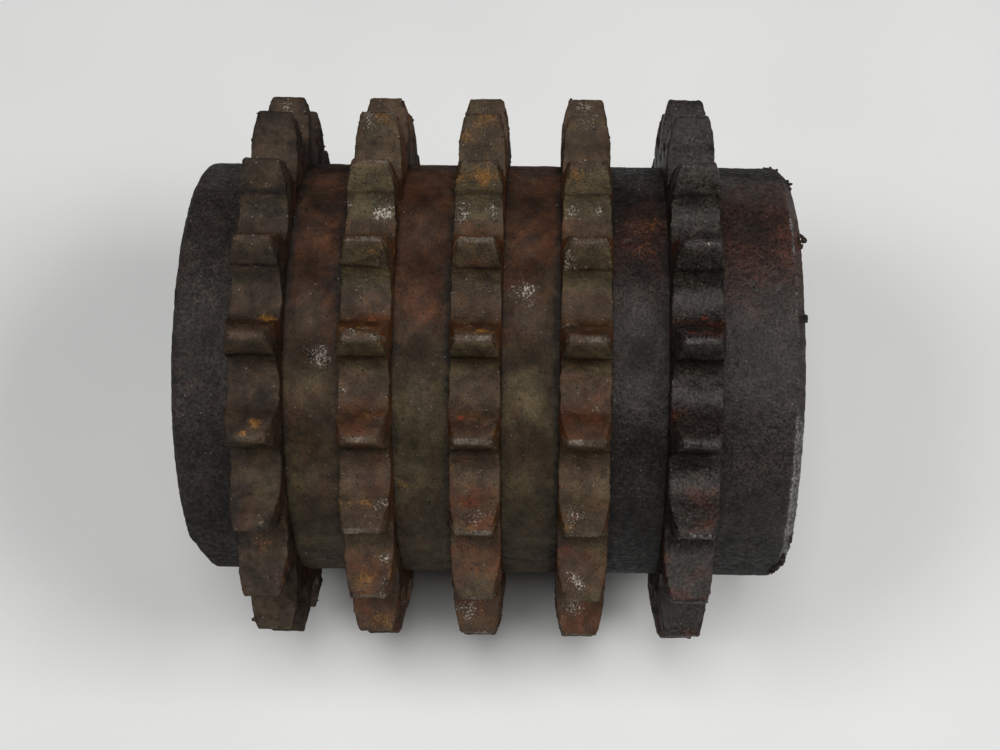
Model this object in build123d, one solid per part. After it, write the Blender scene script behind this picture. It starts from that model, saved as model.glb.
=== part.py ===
from build123d import *

import math
import os

# Five-row roller-chain sprocket drum.
#
# Five toothed rings and four spacer rings are threaded on a bored sleeve between two end collars.
# Two long keys hold the rings in line, so that the teeth of every row stand one behind another.
# A flange on the sleeve carries the right collar, and a slotted ring nut sunk in the left collar
# clamps the stack through a keyed washer.
#
# Frame: the axis is +Y, the origin is on it at the middle of row 3, and +Z is up.
# A tooth of every row points along +Z. Angles about the axis run from +Z towards +X, in degrees.
# A radius is measured from the axis and a station along it, all in millimetres.

# ---- Driving dimensions ----

# Chain: 19.05 mm pitch, five strands
chain_pitch = 19.05
roller_diameter = 11.91
row_pitch = 22.78
row_count = 5

# Teeth
tooth_count = 19
tooth_width = 10.6
tip_land_width = 7.15
side_curve_depth = 9.5
flank_radius = 23.0

# Barrel
barrel_diameter = 94.8
left_collar_length = 13.0
right_collar_length = 17.6
left_collar_chamfer = 1.0
right_collar_chamfer = 2.0

# Sleeve and its bore
bore_diameter = 45.0
bore_chamfer = 1.0
bore_key_width = 14.0
bore_key_depth = 3.8
bore_key_angle = 180.0
sleeve_diameter = 65.0
sleeve_end_chamfer = 0.8
flange_diameter = 76.0
flange_thickness = 5.0

# Keys between the sleeve and the rings
ring_key_width = 8.0
ring_key_height = 7.0
ring_key_seat_depth = 4.0
ring_key_top_gap = 0.3
ring_key_angles = (45.0, 225.0)
ring_key_chamfer = 0.4
ring_key_inset = 0.1

# Clamp: recess, keyed washer, slotted nut and its two locking screws
recess_diameter = 86.0
collar_web = 3.0
washer_thickness = 1.5
washer_diameter = 85.0
washer_tongue_reach = 3.4
nut_thickness = 7.0
nut_diameter = 84.0
nut_chamfer = 0.8
nut_slot_count = 4
nut_slot_width = 8.0
nut_slot_depth = 3.5
nut_slot_angle = 45.0
lock_screw_diameter = 5.0
lock_screw_length = 6.0
lock_screw_circle_radius = 37.3
lock_screw_angles = (0.0, 180.0)
lock_screw_hex = 2.5
lock_screw_hex_depth = 2.6

# Set screws in the right collar
set_screw_diameter = 10.0
set_screw_station = 57.0
set_screw_hex = 5.0
set_screw_hex_depth = 5.0
over_key_screw_length = 16.0
side_screw_length = 20.0
side_screw_angle = 270.0
set_screw_hole_chamfer = 0.8

# Fits, as radial gaps
fixed_gap = 0.02
running_gap = 0.06
face_gap = 0.04
screw_gap = 0.05
tip_gap = 0.1

# ---- Derived dimensions ----

half_pitch_angle = math.pi / tooth_count
pitch_radius = chain_pitch / (2 * math.sin(half_pitch_angle))
tip_radius = chain_pitch * (0.6 + 1 / math.tan(half_pitch_angle)) / 2
seat_radius = 0.505 * roller_diameter
seat_half_angle = math.radians((140 - 90 / tooth_count) / 2)

barrel_radius = barrel_diameter / 2
bore_radius = bore_diameter / 2
sleeve_radius = sleeve_diameter / 2 - fixed_gap
ring_bore_radius = sleeve_diameter / 2
flange_radius = flange_diameter / 2

row_stations = [row_pitch * (row - (row_count - 1) / 2) for row in range(row_count)]
stack_left = row_stations[0] - tooth_width / 2
stack_right = row_stations[-1] + tooth_width / 2
left_end = stack_left - left_collar_length
right_end = stack_right + right_collar_length

web_face = stack_left - collar_web
washer_outer_face = web_face - washer_thickness
nut_inner_face = washer_outer_face - face_gap
nut_outer_face = nut_inner_face - nut_thickness
flange_face = right_end - flange_thickness

ring_key_floor = sleeve_radius - ring_key_seat_depth
ring_key_left = web_face + ring_key_inset
ring_key_right = flange_face - 1.5
ring_keyway_top = ring_key_floor + ring_key_height + ring_key_top_gap
bore_key_floor = bore_radius + bore_key_depth

set_screw_radius = set_screw_diameter / 2 - screw_gap
lock_screw_radius = lock_screw_diameter / 2 - screw_gap

# How far a cutting tool runs past the surface that it cuts
overrun = 1.0


# ---- Shapes about the drum's axis ----

def turned(*outline):
    """A solid turned about the axis from an outline of (radius, station) points."""
    return revolve(make_face(Polyline(*outline, close=True)), Axis.Y)


def block_at(angle, width, inner, outer, start, end):
    """A block standing out from the axis, between two radii and two stations."""
    block = Box(width, end - start, outer - inner, align=(Align.CENTER, Align.MIN, Align.MIN))
    return Rot(0, angle, 0) * Pos(0, start, inner) * block


def hole_at(angle, radius, inner, outer, station):
    """A round rod standing out from the axis, between two radii."""
    rod = Cylinder(radius, outer - inner, align=(Align.CENTER, Align.CENTER, Align.MIN))
    return Rot(0, angle, 0) * Pos(0, station, inner) * rod


def hole_mouth_at(angle, radius, surface_radius, station, chamfer_size):
    """A cone that breaks the edge of a radial hole where it meets a round surface."""
    sag = surface_radius - math.sqrt(surface_radius ** 2 - radius ** 2)
    depth = sag + chamfer_size
    cone = Cone(radius, radius + depth, depth, align=(Align.CENTER, Align.CENTER, Align.MAX))
    return Rot(0, angle, 0) * Pos(0, station, surface_radius) * cone


def ring_keyways(start, end):
    """The slots that both long keys cut in the bore of a ring or collar."""
    width = ring_key_width + 2 * fixed_gap
    inner = ring_bore_radius - overrun
    return [block_at(angle, width, inner, ring_keyway_top, start, end) for angle in ring_key_angles]


# ---- Toothed rings and spacers ----

def tooth_gap():
    """One gap between two teeth, standing along +Z: a roller seat and two convex flanks."""
    seat_x = seat_radius * math.sin(seat_half_angle)
    seat_z = pitch_radius - seat_radius * math.cos(seat_half_angle)
    centre_x = seat_x + flank_radius * math.sin(seat_half_angle)
    centre_z = seat_z - flank_radius * math.cos(seat_half_angle)

    def flank_point(angle):
        return (centre_x - flank_radius * math.sin(angle), centre_z + flank_radius * math.cos(angle))

    outside = tip_radius + 2 * overrun
    centre_distance = math.hypot(centre_x, centre_z)
    reach = (outside ** 2 - centre_distance ** 2 - flank_radius ** 2) / (2 * flank_radius * centre_distance)
    end_angle = math.acos(reach) - math.atan2(centre_x, centre_z)
    middle_x, middle_z = flank_point((seat_half_angle + end_angle) / 2)
    end_x, end_z = flank_point(end_angle)

    seat = ThreePointArc((-seat_x, seat_z), (0, pitch_radius - seat_radius), (seat_x, seat_z))
    right_flank = ThreePointArc((seat_x, seat_z), (middle_x, middle_z), (end_x, end_z))
    left_flank = ThreePointArc((-seat_x, seat_z), (-middle_x, middle_z), (-end_x, end_z))
    mouth = Line((-end_x, end_z), (end_x, end_z))
    upright = Plane(origin=(0, 0, 0), x_dir=(1, 0, 0), z_dir=(0, -1, 0))
    outline = upright * make_face([seat, right_flank, mouth, left_flank])
    return extrude(outline, amount=tooth_width, both=True)


def toothed_ring():
    """A toothed ring centred on the origin, its teeth thinned to the tip by a convex side curve."""
    half_width = tooth_width / 2
    half_land = tip_land_width / 2
    curve_radius = tip_radius - side_curve_depth
    along_radius = (1, 0)
    section = make_face([
        Line((ring_bore_radius, -half_width), (curve_radius, -half_width)),
        TangentArc((curve_radius, -half_width), (tip_radius, -half_land), tangent=along_radius),
        Line((tip_radius, -half_land), (tip_radius, half_land)),
        TangentArc((curve_radius, half_width), (tip_radius, half_land), tangent=along_radius),
        Line((curve_radius, half_width), (ring_bore_radius, half_width)),
        Line((ring_bore_radius, half_width), (ring_bore_radius, -half_width)),
    ])
    gap = tooth_gap()
    step = 360 / tooth_count
    gaps = [Rot(0, (index + 0.5) * step, 0) * gap for index in range(tooth_count)]
    return revolve(section, Axis.Y) - gaps - ring_keyways(-tooth_width, tooth_width)


def spacer_ring():
    """A plain ring that fills the barrel between two rows, centred on the origin."""
    half_width = (row_pitch - tooth_width) / 2
    ring = turned(
        (ring_bore_radius, -half_width),
        (barrel_radius, -half_width),
        (barrel_radius, half_width),
        (ring_bore_radius, half_width),
    )
    return ring - ring_keyways(-half_width - overrun, half_width + overrun)


# ---- Sleeve, collars and keys ----

def core_sleeve():
    """The bored sleeve: flange at the right, key seats outside, a keyway inside."""
    sleeve = turned(
        (bore_radius, left_end + bore_chamfer),
        (bore_radius + bore_chamfer, left_end),
        (sleeve_radius - sleeve_end_chamfer, left_end),
        (sleeve_radius, left_end + sleeve_end_chamfer),
        (sleeve_radius, flange_face),
        (flange_radius, flange_face),
        (flange_radius, right_end),
        (bore_radius + bore_chamfer, right_end),
        (bore_radius, right_end - bore_chamfer),
    )
    seat_end = ring_key_right + ring_key_inset
    cuts = [
        block_at(angle, ring_key_width, ring_key_floor, ring_bore_radius + overrun, left_end - overrun, seat_end)
        for angle in ring_key_angles
    ]
    cuts.append(block_at(
        bore_key_angle, bore_key_width, bore_radius / 2, bore_key_floor, left_end - overrun, right_end + overrun
    ))
    for angle in (bore_key_angle, side_screw_angle):
        cuts.append(hole_at(angle, set_screw_diameter / 2, bore_radius / 2, flange_radius, set_screw_station))
    return sleeve - cuts


def end_collar_left():
    """The left end of the barrel, a cup that the ring nut and its washer sit in."""
    recess_radius = recess_diameter / 2
    collar = turned(
        (ring_bore_radius, stack_left),
        (barrel_radius, stack_left),
        (barrel_radius, left_end + left_collar_chamfer),
        (barrel_radius - left_collar_chamfer, left_end),
        (recess_radius, left_end),
        (recess_radius, web_face),
        (ring_bore_radius, web_face),
    )
    return collar - ring_keyways(web_face - overrun, stack_left + overrun)


def end_collar_right():
    """The right end of the barrel, counterbored for the sleeve's flange and tapped for set screws."""
    counterbore_radius = flange_radius + fixed_gap
    collar = turned(
        (ring_bore_radius, stack_right),
        (barrel_radius, stack_right),
        (barrel_radius, right_end - right_collar_chamfer),
        (barrel_radius - right_collar_chamfer, right_end),
        (counterbore_radius, right_end),
        (counterbore_radius, flange_face),
        (ring_bore_radius, flange_face),
    )
    hole_radius = set_screw_diameter / 2
    cuts = ring_keyways(stack_right - overrun, ring_key_right + ring_key_inset)
    for angle in (bore_key_angle, side_screw_angle):
        cuts.append(hole_at(angle, hole_radius, bore_radius, barrel_radius + overrun, set_screw_station))
        cuts.append(hole_mouth_at(
            angle, hole_radius, barrel_radius, set_screw_station, set_screw_hole_chamfer
        ))
    return collar - cuts


def ring_key(angle):
    """A long parallel key, half in the sleeve and half in the rings."""
    width = ring_key_width - 2 * fixed_gap
    bottom = ring_key_floor + fixed_gap
    key = block_at(0, width, bottom, ring_key_floor + ring_key_height, ring_key_left, ring_key_right)
    key = chamfer(key.edges().filter_by(Axis.Y), ring_key_chamfer)
    return Rot(0, angle, 0) * key


# ---- Clamp ----

def keyed_washer():
    """A flat washer whose inner tongue runs in the sleeve's key seat, so that it slides but can't turn."""
    inner = sleeve_radius + running_gap
    washer = turned(
        (inner, web_face),
        (washer_diameter / 2, web_face),
        (washer_diameter / 2, washer_outer_face),
        (inner, washer_outer_face),
    )
    width = ring_key_width - 2 * running_gap
    tongue_tip = sleeve_radius - washer_tongue_reach
    tongue = block_at(ring_key_angles[0], width, tongue_tip, inner + overrun, washer_outer_face, web_face)
    return washer + tongue


def lock_screw_stations():
    """Where each locking screw's axis crosses a plane square to the drum's axis."""
    for angle in lock_screw_angles:
        direction = math.radians(angle)
        yield lock_screw_circle_radius * math.sin(direction), lock_screw_circle_radius * math.cos(direction)


def ring_nut():
    """A thin slotted ring nut, threaded on the sleeve's left end and drilled for two locking screws."""
    inner = sleeve_radius + running_gap
    outer = nut_diameter / 2
    nut = turned(
        (inner, nut_inner_face),
        (outer, nut_inner_face),
        (outer, nut_outer_face + nut_chamfer),
        (outer - nut_chamfer, nut_outer_face),
        (inner + nut_chamfer, nut_outer_face),
        (inner, nut_outer_face + nut_chamfer),
    )
    cuts = []
    for index in range(nut_slot_count):
        angle = nut_slot_angle + index * 360 / nut_slot_count
        cuts.append(block_at(
            angle, nut_slot_width, outer - nut_slot_depth, outer + overrun,
            nut_outer_face - overrun, nut_inner_face + overrun,
        ))
    for x, z in lock_screw_stations():
        hole = Cylinder(lock_screw_diameter / 2, 3 * nut_thickness)
        cuts.append(Pos(x, nut_inner_face, z) * Rot(90, 0, 0) * hole)
    return nut - cuts


# ---- Screws ----

def grub_screw(radius, length, hex_width, hex_depth):
    """A headless screw standing on its cup point along +Z, with a hexagon socket in its top."""
    edge = radius / 8
    cup_radius = radius * 0.5
    cup_depth = radius * 0.3
    point_height = radius * 0.4
    point_radius = radius * 0.65
    outline = Polyline(
        (0, cup_depth),
        (cup_radius, 0),
        (point_radius, 0),
        (radius, point_height),
        (radius, length - edge),
        (radius - edge, length),
        (0, length),
        close=True,
    )
    body = revolve(make_face(Plane.XZ * outline), Axis.Z)
    socket = extrude(RegularPolygon(hex_width / math.sqrt(3), 6), amount=hex_depth + overrun)
    return body - Pos(0, 0, length - hex_depth) * socket


def set_screw(angle, tip_radius_at_rest, length):
    """A set screw in the right collar, backed off until its point is just clear of the shaft or key."""
    screw = grub_screw(set_screw_radius, length, set_screw_hex, set_screw_hex_depth)
    return Rot(0, angle, 0) * Pos(0, set_screw_station, tip_radius_at_rest) * screw


def lock_screws():
    """The ring nut's locking screws, their points just clear of the washer."""
    screw = grub_screw(lock_screw_radius, lock_screw_length, lock_screw_hex, lock_screw_hex_depth)
    point_station = nut_inner_face - face_gap
    for x, z in lock_screw_stations():
        yield Pos(x, point_station, z) * Rot(90, 0, 0) * screw


# ---- Assembly ----

def build_nodes():
    """Every piece by node name, each in its place in the drum's frame."""
    nodes = {
        "core_sleeve": core_sleeve(),
        "end_collar_left": end_collar_left(),
        "end_collar_right": end_collar_right(),
        "ring_key_upper": ring_key(ring_key_angles[0]),
        "ring_key_lower": ring_key(ring_key_angles[1]),
        "keyed_washer": keyed_washer(),
        "ring_nut": ring_nut(),
        "set_screw_over_key": set_screw(bore_key_angle, bore_key_floor + tip_gap, over_key_screw_length),
        "set_screw_at_side": set_screw(side_screw_angle, bore_radius + tip_gap, side_screw_length),
    }
    for index, screw in enumerate(lock_screws(), start=1):
        nodes[f"nut_lock_screw_{index}"] = screw

    ring = toothed_ring()
    for index, station in enumerate(row_stations, start=1):
        nodes[f"toothed_ring_{index}"] = Pos(0, station, 0) * ring

    spacer = spacer_ring()
    for index, station in enumerate(row_stations[:-1], start=1):
        nodes[f"spacer_ring_{index}"] = Pos(0, station + row_pitch / 2, 0) * spacer
    return nodes


os.makedirs("parts", exist_ok=True)
for name, shape in build_nodes().items():
    export_step(shape, f"parts/{name}.step")
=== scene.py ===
import itertools
import math

import bmesh
import bpy
import numpy as np
from mathutils import Matrix, Vector


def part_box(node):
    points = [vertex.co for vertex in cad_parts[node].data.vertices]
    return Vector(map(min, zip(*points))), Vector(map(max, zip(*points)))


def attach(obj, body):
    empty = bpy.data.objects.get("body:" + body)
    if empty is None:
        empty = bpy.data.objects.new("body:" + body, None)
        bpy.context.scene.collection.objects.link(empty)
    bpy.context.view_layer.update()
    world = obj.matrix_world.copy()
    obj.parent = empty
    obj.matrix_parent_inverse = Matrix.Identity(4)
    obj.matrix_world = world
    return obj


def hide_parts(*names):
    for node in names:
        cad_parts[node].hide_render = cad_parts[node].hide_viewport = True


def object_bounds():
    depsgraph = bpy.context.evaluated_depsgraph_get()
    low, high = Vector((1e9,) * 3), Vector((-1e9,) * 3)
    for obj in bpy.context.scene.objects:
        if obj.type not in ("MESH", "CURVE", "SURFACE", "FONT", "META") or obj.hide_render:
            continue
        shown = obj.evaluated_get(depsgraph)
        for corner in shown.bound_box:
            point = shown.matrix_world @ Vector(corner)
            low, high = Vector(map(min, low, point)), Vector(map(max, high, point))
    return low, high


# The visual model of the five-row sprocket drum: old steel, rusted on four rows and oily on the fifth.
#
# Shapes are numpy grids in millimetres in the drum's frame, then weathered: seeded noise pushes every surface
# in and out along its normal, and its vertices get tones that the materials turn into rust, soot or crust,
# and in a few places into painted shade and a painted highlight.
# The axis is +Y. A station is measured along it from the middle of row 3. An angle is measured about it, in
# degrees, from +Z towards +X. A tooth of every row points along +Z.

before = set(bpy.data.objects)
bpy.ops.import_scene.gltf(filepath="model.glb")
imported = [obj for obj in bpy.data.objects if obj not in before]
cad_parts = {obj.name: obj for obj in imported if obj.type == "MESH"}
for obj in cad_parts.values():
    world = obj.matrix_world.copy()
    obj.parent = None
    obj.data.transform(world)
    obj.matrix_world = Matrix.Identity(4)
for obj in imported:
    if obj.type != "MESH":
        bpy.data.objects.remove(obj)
cad_box = [list(corner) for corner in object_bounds()]

MM = 0.001


def extent(node):
    """Lowest and highest corners of a CAD node, in millimetres."""
    low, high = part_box(node)
    return np.array(low) / MM, np.array(high) / MM


# ---- Dimensions, from the frame where it holds them ----

ROW_NODES = [f"toothed_ring_{row}" for row in range(1, 6)]
SPACER_NODES = [f"spacer_ring_{gap}" for gap in range(1, 5)]

ring_low, ring_high = extent(ROW_NODES[0])
TIP_RADIUS = ring_high[2]
RING_HALF_WIDTH = (ring_high[1] - ring_low[1]) / 2
ROW_STATIONS = [(low[1] + high[1]) / 2 for low, high in map(extent, ROW_NODES)]
BARREL_RADIUS = extent(SPACER_NODES[0])[1][2]
LEFT_END, STACK_LEFT = extent("end_collar_left")[0][1], extent("end_collar_left")[1][1]
STACK_RIGHT, RIGHT_END = extent("end_collar_right")[0][1], extent("end_collar_right")[1][1]
FLANGE_RADIUS = extent("core_sleeve")[1][2]
NUT_OUTER_FACE, NUT_INNER_FACE = extent("ring_nut")[0][1], extent("ring_nut")[1][1]
NUT_RADIUS = extent("ring_nut")[1][2]
WEB_FACE = extent("keyed_washer")[1][1]

TOOTH_COUNT = 19
CHAIN_PITCH = 19.05
SEAT_RADIUS = 6.015
FLANK_RADIUS = 23.0
TIP_LAND_WIDTH = 7.15
SIDE_CURVE_DEPTH = 9.5
TOOTH_STEP = 360 / TOOTH_COUNT

RING_BORE = 32.5
SLEEVE_RADIUS = 32.48
SHAFT_BORE = 22.5
BORE_CHAMFER = 1.0
KEYWAY_HALF_WIDTH = 4.02
KEYWAY_TOP = 35.78
KEYWAY_ANGLES = (45.0, 225.0)
SHAFT_KEYWAY_HALF_WIDTH = 7.0
SHAFT_KEYWAY_FLOOR = 26.3
SHAFT_KEYWAY_ANGLE = 180.0
KEY_SEAT_FLOOR = 28.48
KEY_SEAT_END = 62.06
KEY_SEAT_HALF_ANGLE = 7.5
THREAD_END = -54.6
RECESS_RADIUS = 43.0
COUNTERBORE_RADIUS = 38.02
FLANGE_FACE = 63.46
SET_SCREW_STATION = 57.0
SET_SCREW_HOLE_RADIUS = 5.0
SET_SCREW_ANGLES = (180.0, 270.0)
HOLE_CHAMFER = 0.8
LEFT_CHAMFER = 1.0
RIGHT_CHAMFER = 2.0
LOCK_SCREW_CIRCLE = 37.3
LOCK_SCREW_HOLE_RADIUS = 2.5

EVEN_ANGLES = np.arange(720) / 2
JOINT_OVERLAP = 0.12


# ---- Noise ----

def lattice(cell, seed):
    """A fixed pseudo-random number from 0 to 1 for each whole-number cell."""
    low_bits = 0xFFFFFFFF
    keys = cell.astype(np.int64) & low_bits
    mixed = (keys[:, 0] * 73856093) ^ (keys[:, 1] * 19349663) ^ (keys[:, 2] * 83492791) ^ (seed * 66826526)
    mixed &= low_bits
    for shift, factor in ((15, 0x2C1B3C6D), (12, 0x297A2D39)):
        mixed ^= mixed >> shift
        mixed = (mixed * factor) & low_bits
    mixed ^= mixed >> 15
    return mixed / (low_bits + 1.0)


def noise(points, size, seed):
    """Smooth noise from -1 to 1 whose features are about size across."""
    scaled = points / size + 7.31 * seed
    cell = np.floor(scaled)
    part = scaled - cell
    part = part ** 3 * (part * (part * 6 - 15) + 10)
    total = np.zeros(len(points))
    for corner in itertools.product((0, 1), repeat=3):
        weight = np.prod(np.where(corner, part, 1 - part), axis=1)
        total += weight * lattice(cell + np.array(corner), seed)
    return 2 * total - 1


OCTAVE_TURN = np.array([[0.36, 0.48, -0.8], [-0.8, 0.6, 0.0], [0.48, 0.64, 0.6]])


def layered(points, size, seed, layers=3):
    """Noise with finer layers on top, from about -1 to 1."""
    total = np.zeros(len(points))
    strength = 1.0
    reach = 0.0
    for layer in range(layers):
        total += strength * noise(points, size, seed + layer)
        reach += strength
        strength *= 0.55
        size *= 0.5
        points = points @ OCTAVE_TURN
    return total * 1.6 / reach


def scatter(points, spacing, seed):
    """Each point's distance from the nearest of scattered centres, in spacings, and the centre's number."""
    scaled = points / spacing
    base = np.floor(scaled - 0.5)
    nearest = np.full(len(points), 9.0)
    own = np.zeros(len(points))
    for corner in itertools.product((0, 1), repeat=3):
        cell = base + np.array(corner)
        jitter = np.stack([lattice(cell, seed + axis) for axis in range(3)], 1)
        distance = np.linalg.norm(scaled - cell - 0.5 - 0.7 * (jitter - 0.5), axis=1)
        closer = distance < nearest
        nearest = np.where(closer, distance, nearest)
        own = np.where(closer, lattice(cell, seed + 3), own)
    return nearest, own


def ease(low, high, value):
    """0 below low, 1 above high, smooth between."""
    share = np.clip((value - low) / (high - low), 0, 1)
    return share * share * (3 - 2 * share)


# ---- Grids ----

def on_circle(radius, angle, station):
    """Points from a radius, an angle in degrees and a station."""
    direction = np.radians(angle)
    radius, direction, station = np.broadcast_arrays(radius, direction, station)
    return np.stack([radius * np.sin(direction), station, radius * np.cos(direction)], -1).astype(float)


def polar(points):
    """Radius and angle in degrees of points about the axis."""
    return np.hypot(points[..., 0], points[..., 2]), np.degrees(np.arctan2(points[..., 0], points[..., 2]))


def angle_between(angle, centre):
    """The signed angle from centre to angle, from -180 to 180 degrees."""
    return (angle - centre + 180) % 360 - 180


def angle_from(angle, centre):
    """The angle between two directions, from 0 to 180 degrees."""
    return np.abs(angle_between(angle, centre))


def grid_faces(grid, closed=True):
    """Quads of a grid closed round its rows, and round its columns too if closed."""
    rows, columns = grid.shape[:2]
    index = np.arange(rows * columns).reshape(rows, columns)
    across = np.roll(index, -1, 0)
    quads = np.stack([index, across, np.roll(across, -1, 1), np.roll(index, -1, 1)], -1)
    if not closed:
        quads = quads[:, :-1]
    return quads.reshape(-1, 4)


def grid_normals(grid):
    """Unit normals of a closed grid of points whose rows run round the axis."""
    along_rows = np.roll(grid, -1, 0) - np.roll(grid, 1, 0)
    along_columns = np.roll(grid, -1, 1) - np.roll(grid, 1, 1)
    normals = np.cross(along_rows, along_columns)
    return normals / np.maximum(np.linalg.norm(normals, axis=-1, keepdims=True), 1e-9)


def face_outward(grid):
    """The grid with its columns in the order that makes its faces and normals point outward."""
    radius = polar(grid)[0]
    outer = radius > (radius.min() + radius.max()) / 2
    flux = np.sum(grid[..., [0, 2]] * grid_normals(grid)[..., [0, 2]] * outer[..., None])
    return grid if flux > 0 else grid[:, ::-1]


def resampled(profile):
    """A closed (radius, station, step) profile with points added, about a step apart after each corner."""
    points = []
    for (*start, step), (*end, _) in zip(profile, profile[1:] + profile[:1]):
        start, end = np.array(start), np.array(end)
        count = max(1, round(math.dist(start, end) / step))
        points += [start + part / count * (end - start) for part in range(count)]
    return np.array(points)


def eased_corners(profile, passes=2, longest=0.9):
    """The profile with its corners worn round, wherever its points are close together."""
    for _ in range(passes):
        before, after = np.roll(profile, 1, 0), np.roll(profile, -1, 0)
        gaps = np.linalg.norm([profile - before, after - profile], axis=2)
        close = (gaps < longest).all(axis=0)
        profile = np.where(close[:, None], profile / 2 + (before + after) / 4, profile)
    return profile


def slotted_bore(angles, bore, centres, half_width, floor, reach):
    """Radius at each angle of a bore with flat slots, each less than reach radians from its centre."""
    radius = np.full(len(angles), bore)
    for centre in centres:
        offset = np.radians(angle_between(angles, centre))
        wall = half_width / np.maximum(np.abs(np.sin(offset)), 1e-6)
        slot = np.minimum(floor / np.cos(offset), wall)
        radius = np.where(np.abs(offset) < reach, np.maximum(radius, slot), radius)
    return radius


def flat_slots(radius, angles, centres, half_angle, floor, allowed=True):
    """The radii with flat slots cut in from outside round each centre, where that is allowed."""
    for centre in centres:
        offset = angle_between(angles, centre)[:, None]
        inside = (np.abs(offset) < half_angle) & allowed
        radius = np.where(inside, np.minimum(radius, floor / np.cos(np.radians(offset))), radius)
    return radius


def keyway_bore(angles):
    """Radius of a ring's bore at each angle, with the two keyways in it."""
    return slotted_bore(angles, RING_BORE, KEYWAY_ANGLES, KEYWAY_HALF_WIDTH, KEYWAY_TOP, 0.3)


def turned_grid(profile, angles):
    """A grid turned from a (radius, station) profile, whose innermost points follow a ring's keyed bore."""
    radius = np.repeat(profile[None, :, 0], len(angles), 0)
    is_bore = np.abs(profile[:, 0] - profile[:, 0].min()) < 1e-6
    radius[:, is_bore] = keyway_bore(angles)[:, None]
    return on_circle(radius, angles[:, None], profile[None, :, 1])


# ---- Toothed rows ----

SAMPLES_PER_TOOTH = 56
RIM_STEPS = 17
SIDE_STEPS = 13
EDGE_RADIUS = 0.35
EDGE_TURNS = (30.0, 60.0, 90.0)
WEAR_STEP_RADIUS = 57.0
WEAR_STEP_DEPTH = 0.3
FAINT_STEP_ANGLES = (18, 35)
HIDDEN_RADIUS = BARREL_RADIUS - 0.9


def turned_by(flat, degrees):
    """(x, z) points turned about the axis."""
    turn = math.radians(degrees)
    x, z = flat[:, 0], flat[:, 1]
    return np.stack([x * math.cos(turn) + z * math.sin(turn), z * math.cos(turn) - x * math.sin(turn)], 1)


def tooth_outline():
    """(x, z) points once round a row, evenly spaced, starting at the middle of the tooth at the top."""
    half_step = math.pi / TOOTH_COUNT
    pitch_radius = CHAIN_PITCH / (2 * math.sin(half_step))
    seat_half_angle = math.radians((140 - 90 / TOOTH_COUNT) / 2)
    turn = np.linspace(0, seat_half_angle, 40)
    seat = np.stack([SEAT_RADIUS * np.sin(turn), pitch_radius - SEAT_RADIUS * np.cos(turn)], 1)
    reach = SEAT_RADIUS + FLANK_RADIUS
    centre = np.array([reach * math.sin(seat_half_angle), pitch_radius - reach * math.cos(seat_half_angle)])
    turn = np.linspace(seat_half_angle, seat_half_angle - 1, 200)[1:]
    flank = centre + FLANK_RADIUS * np.stack([-np.sin(turn), np.cos(turn)], 1)
    flank = flank[np.hypot(flank[:, 0], flank[:, 1]) < TIP_RADIUS]
    turn = np.linspace(math.atan2(*flank[-1]), half_step, 8)[1:]
    land = TIP_RADIUS * np.stack([np.sin(turn), np.cos(turn)], 1)
    half = np.vstack([seat, flank, land])
    gap = np.vstack([half[::-1] * (-1, 1), half[1:]])
    length = np.concatenate([[0], np.cumsum(np.linalg.norm(np.diff(gap, axis=0), axis=1))])
    wanted = np.arange(SAMPLES_PER_TOOTH) * length[-1] / SAMPLES_PER_TOOTH
    gap = np.stack([np.interp(wanted, length, gap[:, axis]) for axis in range(2)], 1)
    return np.vstack([turned_by(gap, (index + 0.5) * TOOTH_STEP) for index in range(TOOTH_COUNT)])


def worn_outline(seed):
    """The outline with each tooth's corners worn round by its own amount."""
    outline = tooth_outline()
    smooth = outline
    for _ in range(5):
        smooth = smooth / 2 + (np.roll(smooth, 1, 0) + np.roll(smooth, -1, 0)) / 4
    wear = 0.15 + 0.6 * np.random.default_rng(seed).random(TOOTH_COUNT)
    wear = np.roll(np.repeat(wear, SAMPLES_PER_TOOTH), -SAMPLES_PER_TOOTH // 2)[:, None]
    return outline + wear * (smooth - outline)


def side_half_width(radius):
    """Half the width of a tooth at a radius: full, then thinned to the tip by a round side curve."""
    thinning = RING_HALF_WIDTH - TIP_LAND_WIDTH / 2
    curve = (SIDE_CURVE_DEPTH ** 2 + thinning ** 2) / (2 * thinning)
    past = np.clip(radius - (TIP_RADIUS - SIDE_CURVE_DEPTH), 0, SIDE_CURVE_DEPTH)
    return RING_HALF_WIDTH - (curve - np.sqrt(curve ** 2 - past ** 2))


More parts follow.
